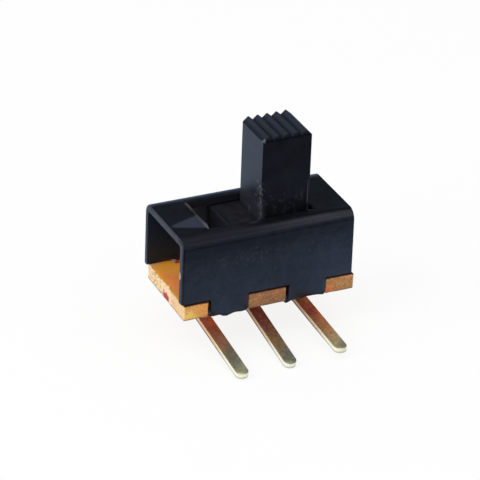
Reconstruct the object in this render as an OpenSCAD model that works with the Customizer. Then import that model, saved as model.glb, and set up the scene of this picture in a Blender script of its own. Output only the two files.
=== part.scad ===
// Right-angle slide switch: one pole, two positions.
// A folded steel cover clamps a laminate base. A ridged knob slides
// along the slot in the cover, and three flat terminals leave through
// the base and bend forward, towards the circuit board.
//
// X runs along the slide, Y runs back from the board face, Z is up.
// The origin is where the middle terminal crosses the board face,
// which is the plane of the cover's front wall.

/* [Cover] */

// Length of the cover along the slide
cover_l = 8.76; // [7:0.02:12]
// Depth of the cover over both walls
cover_w = 4.4; // [3.6:0.1:6]
// Height of the cover's top above the underside of the base
cover_h = 4.12; // [3.5:0.01:6]
// Thickness of the steel sheet
sheet_t = 0.34; // [0.25:0.01:0.45]
// Outer radius of the folds
fold_r = 0.5; // [0.4:0.02:0.8]
// Length of the slot in the top
slot_l = 5.36; // [4.5:0.02:7]
// Width of the slot in the top
slot_w = 2.7; // [2.3:0.05:3.4]
// Radius of the slot's corners
slot_r = 0.15; // [0.05:0.01:0.4]
// Width of each tab along the slide
tab_w = 1.9; // [1.2:0.05:2.4]
// Distance of each tab's middle from the middle of the pair
tab_x = 2; // [1.5:0.05:2.6]
// How far the tabs sit to the right of the cover's middle
tab_dx = 0.08; // [-0.1:0.01:0.1]
// Reach of each tab's folded end, from the face of its wall
flap_l = 1; // [0.6:0.05:1.4]

/* [Base] */

// Length of the laminate base
base_l = 8.78; // [7:0.02:12]
// Depth of the laminate base
base_w = 4.2; // [3.4:0.05:6]
// Thickness of the laminate base
base_t = 0.8; // [0.5:0.05:1.2]
// Length of each recess that a tab passes through
recess_w = 2.05; // [1.4:0.05:2.6]
// How far the recesses sit to the right of the base's middle
recess_dx = -0.11; // [-0.15:0.01:0.1]
// Depth of each recess
recess_d = 0.42; // [0.3:0.01:0.7]
// How far the base sits to the right of the cover's middle
base_dx = 0.14; // [0.12:0.01:0.26]
// How far the base sits forward, in the play of its recesses
base_dy = 0.07; // [-0.07:0.01:0.07]
// Tilt of the base, front edge down, as the tabs hold it, in degrees
base_tilt = 2.2; // [0:0.1:2.4]

/* [Terminals] */

// Distance between neighbouring terminals
pitch = 2.54; // [2:0.01:3]
// Width of a terminal's leg and tail
lead_w = 0.65; // [0.4:0.05:0.8]
// Thickness of the terminal strip
lead_t = 0.28; // [0.2:0.01:0.4]
// Height of the base above the terminals' axes at the board face
lead_drop = 1.22; // [1:0.01:2]
// Inner radius of the terminals' bend
lead_bend_r = 0.2; // [0.1:0.02:0.4]
// Length of the left tail, from its bend to its tip
tail_left = 5.1; // [3.5:0.05:7]
// Length of the middle tail
tail_middle = 4.95; // [3.5:0.05:7]
// Length of the right tail
tail_right = 4.95; // [3.5:0.05:7]
// Droop of the left tail below level, in degrees
sag_left = 8; // [0:0.5:12]
// Droop of the middle tail below level, in degrees
sag_middle = 10; // [0:0.5:12]
// Droop of the right tail below level, in degrees
sag_right = 3.5; // [0:0.5:12]
// Width of the contact blade above the base
blade_w = 1.6; // [1.2:0.05:2]
// Height of the contact blade above the base
blade_h = 1.45; // [1:0.05:1.6]
// Width of the shoulders that rest on the base
shoulder_w = 1.9; // [1.6:0.05:2.2]
// Height of the shoulders
shoulder_h = 0.5; // [0.3:0.05:0.8]

/* [Slider] */

// Width of the knob along the slide
knob_w = 2.5; // [2.4:0.02:2.8]
// Depth of the knob
knob_d = 2.35; // [1.4:0.05:2.5]
// Height of the ridges' crests above the cover
knob_h = 4.09; // [1.5:0.01:6]
// Radius of the knob's upright edges
knob_r = 0.06; // [0.04:0.02:0.3]
// Number of ridges across the knob's top
ridge_n = 5; // [3:1:5]
// Distance between the crests of neighbouring ridges
ridge_pitch = 0.48; // [0.4:0.01:0.5]
// Slope of the ridges' sides, in degrees
ridge_a = 41; // [30:1:50]
// Radius of the ridges' crests
ridge_r = 0.05; // [0.02:0.01:0.08]
// Bevel at the front ends of the ridges
ridge_bevel = 0.15; // [0.05:0.01:0.3]
// Travel of the slider between its two positions
travel = 2.5; // [2:0.02:3]
// Length of the slider's body under the cover
body_l = 5.3; // [4.6:0.05:5.6]
// Depth of the slider's body
body_w = 3.5; // [3:0.05:5]
// Running gap above and below the slider's body
body_gap = 0.06; // [0.03:0.01:0.12]
// Length of the pocket that holds the contact clip
pocket_l = 3.4; // [3:0.05:4]
// Depth of that pocket
pocket_w = 1.6; // [1.3:0.05:2]
// Thickness of the slider's body over the pocket
roof_t = 0.48; // [0.3:0.02:0.8]
// Width of the groove that the terminal blades run in
groove_w = 0.7; // [0.5:0.05:1]

/* [Contact clip] */

// Thickness of the spring strip
clip_t = 0.12; // [0.08:0.01:0.2]
// Length of the clip's back
clip_l = 3.3; // [2.8:0.05:3.8]
// Outer depth of the clip's back
clip_w = 1.2; // [1:0.05:1.5]
// Width of each spring leaf
leaf_w = 0.6; // [0.4:0.05:0.9]
// Gap between a leaf and the blade it stands beside
leaf_gap = 0.03; // [0.02:0.01:0.08]
// Height of the leaves' lower ends above the base
leaf_foot = 0.45; // [0.3:0.05:0.6]
// Height of the leaves' waist above the base
leaf_waist = 0.87; // [0.6:0.01:1.1]

/* [Hidden] */

$fn = 48;
eps = 0.01;

// Colours of the pieces.
steel_black = [0.09, 0.10, 0.13];
laminate_amber = [0.80, 0.53, 0.24];
moulding_black = [0.07, 0.07, 0.09];
brass_tinned = [0.55, 0.45, 0.32];
bronze = [0.72, 0.50, 0.28];

// Heights, measured from the underside of the base.
ceiling_z = cover_h - sheet_t;
body_top = ceiling_z - body_gap;
tilt_rise = base_w / 2 * tan(base_tilt);
wall_foot = base_t + tilt_rise + 0.01;
// the front wall reaches further down, over the base's low edge
front_reach = 0.08;
body_foot = base_t + body_w / 2 * tan(base_tilt) + body_gap;
pocket_top = body_top - roof_t;
groove_top = base_t + blade_h + 0.2;
knob_low = body_top - roof_t / 2;
knob_top = cover_h + knob_h;
// A ridge's flanks would meet at this height if its crest weren't round.
ridge_peak = knob_top - ridge_r + ridge_r / cos(ridge_a);
ridge_valley = ridge_peak - ridge_pitch / 2 * tan(ridge_a);

// The slider stands in its right-hand position.
slider_x = travel / 2;

// The terminals' bends. Each bend's height puts its tail's axis at
// lead_drop below the base in the plane of the board face.
bend_mean = lead_bend_r + lead_t / 2;
function bend_z(sag) = -lead_drop + bend_mean * cos(sag)
    + (cover_w / 2 - bend_mean + bend_mean * sin(sag)) * tan(sag);

// ---- placing ------------------------------------------------------

// Moves a piece from the middle of the base's underside to the part's
// own frame.
module at_board() {
    translate([0, cover_w / 2, lead_drop])
        children();
}

// Extrudes a Y-Z profile along X, centred on X = 0.
module along_x(length) {
    translate([-length / 2, 0, 0])
        rotate([90, 0, 90])
            linear_extrude(height = length)
                children();
}

// Extrudes an X-Z profile along Y, centred on Y = 0.
module along_y(length) {
    translate([0, length / 2, 0])
        rotate([90, 0, 0])
            linear_extrude(height = length)
                children();
}

// A rectangle with round corners, centred on the origin.
module round_rect(size_x, size_y, r) {
    square([size_x - 2 * r, size_y], center = true);
    square([size_x, size_y - 2 * r], center = true);
    for (sx = [-1, 1]) {
        for (sy = [-1, 1]) {
            translate([sx * (size_x / 2 - r), sy * (size_y / 2 - r)])
                circle(r);
        }
    }
}

// A quarter of a folded sheet's section, in the first quadrant.
module fold_section() {
    intersection() {
        difference() {
            circle(fold_r);
            circle(fold_r - sheet_t);
        }
        square(fold_r);
    }
}

// ---- cover --------------------------------------------------------

// The top, its two folds and the two walls down to the base.
module channel_section() {
    top_half = cover_w / 2 - fold_r;
    translate([-top_half, ceiling_z])
        square([2 * top_half, sheet_t]);
    for (side = [0, 1]) {
        mirror([side, 0]) {
            translate([top_half, cover_h - fold_r])
                fold_section();
            foot = wall_foot - side * front_reach;
            translate([cover_w / 2 - sheet_t, foot])
                square([sheet_t, cover_h - fold_r - foot]);
        }
    }
}

// One tab: down past the base's edge, then folded under it at the
// height of its underside there.
module tab_section(under) {
    bend_y = cover_w / 2 - fold_r;
    bend_up = under + fold_r - sheet_t;
    translate([cover_w / 2 - sheet_t, bend_up])
        square([sheet_t, wall_foot + 0.3 - bend_up]);
    translate([bend_y, bend_up])
        mirror([0, 1])
            fold_section();
    translate([cover_w / 2 - flap_l, under - sheet_t])
        square([flap_l - fold_r, sheet_t]);
}

module housing() {
    back_under = (cover_w / 2 - flap_l) * tan(base_tilt) - 0.005;
    front_under = -tilt_rise - 0.02;
    color(steel_black)
        union() {
            difference() {
                along_x(cover_l)
                    channel_section();
                translate([0, 0, ceiling_z - 0.2])
                    linear_extrude(height = sheet_t + 0.4)
                        round_rect(slot_l, slot_w, slot_r);
            }
            for (side = [0, 1]) {
                for (end = [-1, 1]) {
                    mirror([0, side, 0])
                        translate([tab_dx + end * tab_x, 0, 0])
                            along_x(tab_w)
                                tab_section([back_under, front_under][side]);
                }
            }
        }
}

// ---- base ---------------------------------------------------------

// The plate with its four recesses, lying level.
module plate() {
    difference() {
        translate([base_dx - base_l / 2, -base_dy - base_w / 2, 0])
            cube([base_l, base_w, base_t]);
        for (side = [-1, 1]) {
            for (end = [-1, 1]) {
                translate([
                    base_dx + recess_dx + end * tab_x - recess_w / 2,
                    -base_dy + side * base_w / 2 - recess_d,
                    -eps
                ])
                    cube([recess_w, 2 * recess_d, base_t + 2 * eps]);
            }
        }
    }
}

module base() {
    color(laminate_amber)
        difference() {
            rotate([base_tilt, 0, 0])
                plate();
            for (i = [-1 : 1]) {
                translate([
                    i * pitch - lead_w / 2 - eps,
                    -lead_t / 2 - eps,
                    -0.1
                ])
                    cube([
                        lead_w + 2 * eps,
                        lead_t + 2 * eps,
                        base_t + 0.2
                    ]);
            }
        }
}

// ---- terminals ----------------------------------------------------

// The contact blade with its shoulders and its leg down to a bend at
// height foot, seen from the front.
module blade_section(foot) {
    corner = 0.25;
    top = base_t + blade_h;
    translate([-shoulder_w / 2, base_t])
        square([shoulder_w, shoulder_h]);
    polygon([
        [-blade_w / 2, base_t],
        [blade_w / 2, base_t],
        [blade_w / 2, top - corner],
        [blade_w / 2 - corner, top],
        [corner - blade_w / 2, top],
        [-blade_w / 2, top - corner]
    ]);
    translate([-lead_w / 2, foot])
        square([lead_w, base_t + eps - foot]);
}

// A tail, seen from above, with its round tip. It starts at the bend.
module tail_plan(length) {
    translate([-lead_w / 2, lead_w / 2 - length])
        square([lead_w, length - lead_w / 2]);
    translate([0, lead_w / 2 - length])
        circle(lead_w / 2);
}

// One terminal, standing at x, with its tail sagging below level.
module terminal(x, sag, length) {
    bend_y = -lead_t / 2 - lead_bend_r;
    color(brass_tinned)
        translate([x, 0, 0])
            union() {
                along_y(lead_t)
                    blade_section(bend_z(sag));
                translate([0, bend_y, bend_z(sag)])
                    rotate([0, 90, 0])
                        rotate([0, 0, sag])
                            rotate_extrude(angle = 90 - sag)
                                translate([lead_bend_r, -lead_w / 2])
                                    square([lead_t, lead_w]);
                translate([0, bend_y, bend_z(sag)])
                    rotate([sag, 0, 0])
                        translate([0, 0, -lead_bend_r - lead_t])
                            linear_extrude(height = lead_t)
                                tail_plan(length);
            }
}

// ---- slider -------------------------------------------------------

// The knob's outline from the front. The ridges run along Y, and the
// outermost flanks carry on down to the knob's sides.
module knob_front() {
    half = ridge_r * sin(ridge_a);
    rise = knob_top - ridge_r + ridge_r * cos(ridge_a);
    last = (ridge_n - 1) / 2;
    beyond = knob_w / 2 + 0.5;
    foot = ridge_peak - (beyond - last * ridge_pitch) * tan(ridge_a);
    polygon([
        [-beyond, knob_low],
        [beyond, knob_low],
        [beyond, foot],
        for (i = [last : -1 : -last]) each [
            [i * ridge_pitch + half, rise],
            [i * ridge_pitch - half, rise],
            if (i > -last) [(i - 0.5) * ridge_pitch, ridge_valley]
        ],
        [-beyond, foot]
    ]);
    for (i = [-last : last]) {
        translate([i * ridge_pitch, knob_top - ridge_r])
            circle(ridge_r);
    }
}

// The knob's outline from the side, bevelled at the ridges' front ends.
module knob_side() {
    polygon([
        [-knob_d / 2 - 1, knob_low - 1],
        [knob_d / 2 + 1, knob_low - 1],
        [knob_d / 2 + 1, knob_top + 1],
        [ridge_bevel - knob_d / 2 + 1, knob_top + 1],
        [-knob_d / 2 - 1, knob_top - ridge_bevel - 1]
    ]);
}

module knob() {
    intersection() {
        translate([0, 0, knob_low])
            linear_extrude(height = knob_top + 1 - knob_low)
                round_rect(knob_w, knob_d, knob_r);
        along_y(knob_d + 1)
            knob_front();
        along_x(knob_w + 1)
            knob_side();
    }
}

module slider() {
    color(moulding_black)
        translate([slider_x, 0, 0])
            union() {
                knob();
                difference() {
                    translate([-body_l / 2, -body_w / 2, body_foot])
                        cube([body_l, body_w, body_top - body_foot]);
                    translate([-body_l / 2 - 1, -groove_w / 2, 0])
                        cube([body_l + 2, groove_w, groove_top]);
                    translate([-pocket_l / 2, -pocket_w / 2, 0])
                        cube([pocket_l, pocket_w, pocket_top]);
                }
            }
}

// ---- contact clip -------------------------------------------------

// The back and one leaf, in Y-Z. The leaf leans in to the blade and
// flares out again below its waist.
module leaf_section() {
    waist = lead_t / 2 + leaf_gap;
    edge = clip_w / 2 - clip_t;
    bend = pocket_top - 0.45;
    foot = waist + 0.18;
    polygon([
        [edge, pocket_top],
        [edge + clip_t, pocket_top],
        [edge + clip_t, bend],
        [waist + clip_t, base_t + leaf_waist],
        [foot + clip_t, base_t + leaf_foot],
        [foot, base_t + leaf_foot],
        [waist, base_t + leaf_waist],
        [edge, bend]
    ]);
}

module contact_clip() {
    leaf_x = pitch / 2;
    color(bronze)
        translate([slider_x, 0, 0])
            union() {
                translate([
                    -clip_l / 2,
                    -clip_w / 2,
                    pocket_top - clip_t
                ])
                    cube([clip_l, clip_w, clip_t]);
                for (end = [-1, 1]) {
                    for (side = [0, 1]) {
                        translate([end * leaf_x, 0, 0])
                            mirror([0, side, 0])
                                along_x(leaf_w)
                                    leaf_section();
                    }
                }
            }
}

// ---- nodes --------------------------------------------------------

at_board() housing();
at_board() base();
at_board() terminal(-pitch, sag_left, tail_left);  // terminal_left
at_board() terminal(0, sag_middle, tail_middle);  // terminal_middle
at_board() terminal(pitch, sag_right, tail_right);  // terminal_right
at_board() slider();
at_board() contact_clip();
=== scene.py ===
import math
import random

import bmesh
import bpy
from mathutils import Matrix, Vector


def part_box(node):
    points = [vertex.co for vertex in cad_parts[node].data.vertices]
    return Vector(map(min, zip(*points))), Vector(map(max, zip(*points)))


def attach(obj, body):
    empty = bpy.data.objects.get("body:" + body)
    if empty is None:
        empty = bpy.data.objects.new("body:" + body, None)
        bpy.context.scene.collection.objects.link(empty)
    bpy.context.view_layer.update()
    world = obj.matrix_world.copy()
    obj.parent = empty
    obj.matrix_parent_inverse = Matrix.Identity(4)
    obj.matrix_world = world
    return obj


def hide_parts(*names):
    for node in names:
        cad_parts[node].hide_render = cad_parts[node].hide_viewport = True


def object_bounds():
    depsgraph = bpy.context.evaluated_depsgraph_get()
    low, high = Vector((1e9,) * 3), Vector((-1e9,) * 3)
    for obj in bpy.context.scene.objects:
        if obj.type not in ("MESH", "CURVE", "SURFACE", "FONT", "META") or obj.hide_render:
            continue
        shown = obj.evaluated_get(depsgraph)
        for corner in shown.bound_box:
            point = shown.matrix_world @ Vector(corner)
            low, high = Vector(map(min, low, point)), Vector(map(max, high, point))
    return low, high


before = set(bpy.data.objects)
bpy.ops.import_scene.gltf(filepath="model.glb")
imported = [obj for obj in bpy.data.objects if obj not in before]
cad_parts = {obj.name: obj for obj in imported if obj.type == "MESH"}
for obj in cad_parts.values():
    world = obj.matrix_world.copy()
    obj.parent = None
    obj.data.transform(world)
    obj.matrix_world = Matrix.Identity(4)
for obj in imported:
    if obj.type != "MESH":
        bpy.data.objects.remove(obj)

# Lengths in the dictionaries are in millimetres and angles in degrees.
# A mesh is modelled in millimetres and made metres when it is finished.
mm = 0.001
# closer than this is the same place, and littleIn is a small step into a face
closeBy, littleIn = 0.001, 0.01
# how near cuts snap to vertices, and how near vertices merge
cutSnap, weldReach = 0.0001, 0.0002
# a side face has less than this share of its normal along the thickness
steep = 0.5
cadBox = [list(corner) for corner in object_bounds()]
dice = random.Random(11)


def boxOf(node):
    low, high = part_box(node)
    return low / mm, high / mm


def axisVector(axis, length=1.0):
    # a vector along x, y or z, by number
    direction = Vector((0, 0, 0))
    direction[axis] = length
    return direction


def vertsOf(geom):
    return [part for part in geom if isinstance(part, bmesh.types.BMVert)]


def facesOf(geom):
    return [part for part in geom if isinstance(part, bmesh.types.BMFace)]


def middle(face):
    return face.calc_center_median()


def cut(bm, axis, places, where=None):
    # straight cuts across the mesh, or across the faces that where picks
    for place in places:
        faces = [f for f in bm.faces if where is None or where(middle(f))]
        # each vertex and edge once, in the same order on each run
        verts = list(dict.fromkeys(v for f in faces for v in f.verts))
        edges = list(dict.fromkeys(e for f in faces for e in f.edges))
        bmesh.ops.bisect_plane(bm, geom=verts + edges + faces, dist=cutSnap,
                               plane_co=axisVector(axis, place), plane_no=axisVector(axis))


def drop(bm, test):
    faces = [f for f in bm.faces if test(middle(f))]
    bmesh.ops.delete(bm, geom=faces, context="FACES")


def push(bm, faces, move):
    # extrudes faces by a vector and gives the new end faces
    made = bmesh.ops.extrude_face_region(bm, geom=faces)["geom"]
    bmesh.ops.translate(bm, vec=move, verts=vertsOf(made))
    return facesOf(made)


def bevel(bm, geom, size, steps=2, kind="EDGES"):
    if not geom:
        return []
    made = bmesh.ops.bevel(bm, geom=geom, offset=size, offset_type="OFFSET", affect=kind, segments=steps,
                           profile=0.5, material=-1, clamp_overlap=True)
    return made["faces"]


def corners(bm, limit=50, test=None):
    # the edges where two faces meet at more than limit degrees
    found = [e for e in bm.edges if len(e.link_faces) == 2 and e.calc_face_angle() > math.radians(limit)]
    return [e for e in found if test is None or test((e.verts[0].co + e.verts[1].co) / 2)]


def foldStrip(bm, outline, start, end, radius, steps):
    # a strip along x from its outline in y and z, with its folds rounded
    line = [bm.verts.new((start, y, z)) for y, z in outline]
    edges = [bm.edges.new(pair) for pair in zip(line, line[1:])]
    made = bmesh.ops.extrude_edge_only(bm, edges=edges)["geom"]
    bmesh.ops.translate(bm, vec=(end - start, 0, 0), verts=vertsOf(made))
    bevel(bm, [e for e in bm.edges if len(e.link_faces) == 2], radius, steps)


def pairEdges(centre, spacing, half):
    # the edges of two equal spans, one at spacing to each side of centre
    return [centre + side * spacing + end * half for side in (-1, 1) for end in (-1, 1)]


def inPair(place, centre, spacing, half):
    # whether a place is in either of those spans
    return abs(abs(place - centre) - spacing) <= half


def between(value, low, high):
    # 0 below low, 1 above high and a smooth step in between
    t = min(1, max(0, (value - low) / (high - low)))
    return t * t * (3 - 2 * t)


def readTable(table, place):
    # a value from (place, value) pairs, eased between them
    if place <= table[0][0]:
        return table[0][1]
    for (p0, v0), (p1, v1) in zip(table, table[1:]):
        if place <= p1:
            return v0 + (v1 - v0) * between(place, p0, p1)
    return table[-1][1]


def faceLayers(bm, *names):
    return [bm.faces.layers.float.new(name) for name in names]


def mark(faces, layer, value=1.0):
    for face in faces:
        face[layer] = value


def plate(bm, low, high, height):
    # one flat face between two corners, from a square with sides of 1
    made = bmesh.ops.create_grid(bm, x_segments=1, y_segments=1, size=0.5)["verts"]
    bmesh.ops.scale(bm, vec=(high.x - low.x, high.y - low.y, 1), verts=made)
    bmesh.ops.translate(bm, vec=((low.x + high.x) / 2, (low.y + high.y) / 2, height), verts=made)


def meshObject(bm, name, finish):
    # millimetres become metres here
    bmesh.ops.scale(bm, vec=(mm, mm, mm), verts=bm.verts[:])
    mesh = bpy.data.meshes.new(name)
    bm.to_mesh(mesh)
    bm.free()
    mesh.materials.append(finish)
    made = bpy.data.objects.new(name, mesh)
    bpy.context.scene.collection.objects.link(made)
    return made


def finishPiece(bm, name, body, node, finish, creaseAt=40):
    bmesh.ops.remove_doubles(bm, verts=bm.verts[:], dist=weldReach)
    bmesh.ops.recalc_face_normals(bm, faces=bm.faces[:])
    for face in bm.faces:
        face.smooth = True
    for edge in bm.edges:
        edge.smooth = len(edge.link_faces) == 2 and edge.calc_face_angle() < math.radians(creaseAt)
    piece = meshObject(bm, name, finish)
    shading = piece.modifiers.new("evenShading", "WEIGHTED_NORMAL")
    shading.keep_sharp = True
    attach(piece, body)
    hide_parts(node)
    print("made", name, len(piece.data.polygons), "faces")


def tone(red, green, blue):
    # a colour as a picker shows it, 0 to 255, made linear
    parts = [c / 255 for c in (red, green, blue)]
    return tuple(c / 12.92 if c <= 0.04045 else ((c + 0.055) / 1.055) ** 2.4 for c in parts) + (1.0,)


class Wire:
    # an output socket that can stand in a sum
    def __init__(self, nodes, socket):
        self.nodes = nodes
        self.socket = socket

    def sum(self, operation, first, second=0.0):
        return self.nodes.node("Math", {"operation": operation}, {0: first, 1: second})

    def __add__(self, other):
        return self.sum("ADD", self, other)

    def __radd__(self, other):
        return self.sum("ADD", other, self)

    def __sub__(self, other):
        return self.sum("SUBTRACT", self, other)

    def __rsub__(self, other):
        return self.sum("SUBTRACT", other, self)

    def __mul__(self, other):
        return self.sum("MULTIPLY", self, other)

    def __rmul__(self, other):
        return self.sum("MULTIPLY", other, self)

    def __truediv__(self, other):
        return self.sum("DIVIDE", self, other)

    def most(self, other):
        return self.sum("MAXIMUM", self, other)

    def least(self, other):
        return self.sum("MINIMUM", self, other)

    def size(self):
        return self.sum("ABSOLUTE", self)

    def step(self, low, high):
        # 0 at low and 1 at high, smooth in between; low may be the greater
        return self.nodes.node("MapRange", {"interpolation_type": "SMOOTHSTEP"},
                               {"Value": self, "From Min": low, "From Max": high})

    def other(self, name):
        # another output of the same node
        return Wire(self.nodes, self.socket.node.outputs[name])


class Nodes:
    # a node tree, built up by expressions
    def __init__(self, tree):
        self.tree = tree

    def node(self, kind, settings=None, sockets=None, out=0):
        made = self.tree.nodes.new("ShaderNode" + kind)
        for key, value in (settings or {}).items():
            if key == "stops":
                while len(made.color_ramp.elements) < len(value):
                    made.color_ramp.elements.new(1.0)
                for element, (place, colour) in zip(made.color_ramp.elements, value):
                    element.position = place
                    element.color = colour
            else:
                setattr(made, key, value)
        for key, value in (sockets or {}).items():
            self.plug(made.inputs[key], value)
        return Wire(self, made.outputs[out])

    def plug(self, socket, value):
        if isinstance(value, Wire):
            self.tree.links.new(value.socket, socket)
        else:
            socket.default_value = value

    def vector(self, operation, first, second=(0, 0, 0), out=0):
        return self.node("VectorMath", {"operation": operation}, {0: first, 1: second}, out)

    def scaled(self, vector, scale):
        return self.node("VectorMath", {"operation": "SCALE"}, {0: vector, "Scale": scale})

    def parts(self, vector):
        first = self.node("SeparateXYZ", sockets={0: vector})
        return [first, first.other("Y"), first.other("Z")]

    def blend(self, factor, first, second):
        # sockets 6, 7 and 2 are the colours of a Mix node
        return self.node("Mix", {"data_type": "RGBA", "clamp_factor": True},
                         {0: factor, 6: first, 7: second}, 2)


class Finish(Nodes):
    # a material on the Principled shader, with the tones, zones and patches of its piece
    def __init__(self, name, piece):
        self.material = bpy.data.materials.new(name)
        self.material.use_nodes = True
        super().__init__(self.material.node_tree)
        self.shader = self.tree.nodes["Principled BSDF"]
        self.tones = {key: tone(*value) for key, value in piece["tones"].items()}
        self.zones = piece.get("zones", {})
        self.patches = piece.get("patches", {})
        # this point of the object in millimetres, and its three coordinates
        self.here = self.scaled(self.node("TexCoord", out="Object"), 1 / mm)
        self.axes = dict(zip("xyz", self.parts(self.here)))

    def surface(self, **values):
        names = {"colour": "Base Color", "roughness": "Roughness", "metallic": "Metallic", "normal": "Normal",
                 "specular": "Specular IOR Level", "tint": "Specular Tint"}
        for key, value in values.items():
            self.plug(self.shader.inputs[names[key]], value)
        return self.material

    def layers(self, colour, rows):
        # lays tones over a colour, each where its mask is up
        for mask, name in rows:
            colour = self.blend(mask, colour, self.tones[name])
        return colour

    def ramp(self, place, rows):
        # tones that follow one another; each row has its place, then red, green and blue
        start, length = rows[0][0], rows[-1][0] - rows[0][0]
        stops = [((at - start) / length, tone(*colour)) for at, *colour in rows]
        return self.node("ValToRGB", {"stops": stops}, {"Fac": (place - start) / length})

    def zone(self, name):
        # 1 where all its steps are up; a row has an axis, where it leaves 0 and where it reaches 1
        inside, *others = [self.axes[axis].step(low, high) for axis, low, high in self.zones[name]]
        for step in others:
            inside = inside * step
        return inside

    def stretch(self, vector, scale):
        return self.node("Mapping", sockets={"Vector": vector, "Scale": scale})

    def noise(self, vector, scale, detail, rough=0.5):
        return self.node("TexNoise", sockets={"Vector": vector, "Scale": scale, "Detail": detail,
                                              "Roughness": rough})

    def wander(self, vector, scale, reach):
        # nudges a position by a noise, so that an outline wanders
        shift = self.node("TexNoise", sockets={"Vector": vector, "Scale": scale, "Detail": 2.0}, out="Color")
        shift = self.scaled(self.vector("SUBTRACT", shift, (0.5, 0.5, 0.5)), 2 * reach)
        return self.vector("ADD", vector, shift)

    def mark(self, name):
        return self.node("Attribute", {"attribute_name": name}, out="Fac")

    def spot(self, vector, centre, reach):
        # 1 at the centre, falling to 0 where each axis is its reach away
        away = self.vector("DIVIDE", self.vector("SUBTRACT", vector, centre), reach)
        return (1 - self.vector("LENGTH", away, out="Value")).most(0.0)

    def patch(self, name, vector=None):
        # a named spot: its centre, its reach and the step that sharpens its edge
        centre, reach, low, high = self.patches[name]
        return self.spot(vector or self.here, centre, reach).step(low, high)

    def bump(self, height, depth, strength):
        # depth is the relief in millimetres
        return self.node("Bump", sockets={"Height": height, "Distance": depth * mm, "Strength": strength})


view = dict(azimuth=-25.655, elevation=28.64, roll=2.15, place=(-68.6616, -139.8105, 89.6468),
            lens=286.918, sensor=36, clipStart=0.01, clipEnd=10)


def makeCamera():
    camera = bpy.data.objects.new("camera", bpy.data.cameras.new("camera"))
    bpy.context.scene.collection.objects.link(camera)
    camera.data.lens = view["lens"]
    camera.data.sensor_width = view["sensor"]
    camera.data.clip_start = view["clipStart"]
    camera.data.clip_end = view["clipEnd"]
    turn = (Matrix.Rotation(math.radians(view["azimuth"]), 4, "Z")
            @ Matrix.Rotation(math.radians(90 - view["elevation"]), 4, "X")
            @ Matrix.Rotation(math.radians(view["roll"]), 4, "Z"))
    camera.matrix_world = Matrix.Translation(Vector(view["place"]) * mm) @ turn
    bpy.context.scene.camera = camera


makeCamera()
print("camera in place")

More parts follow.
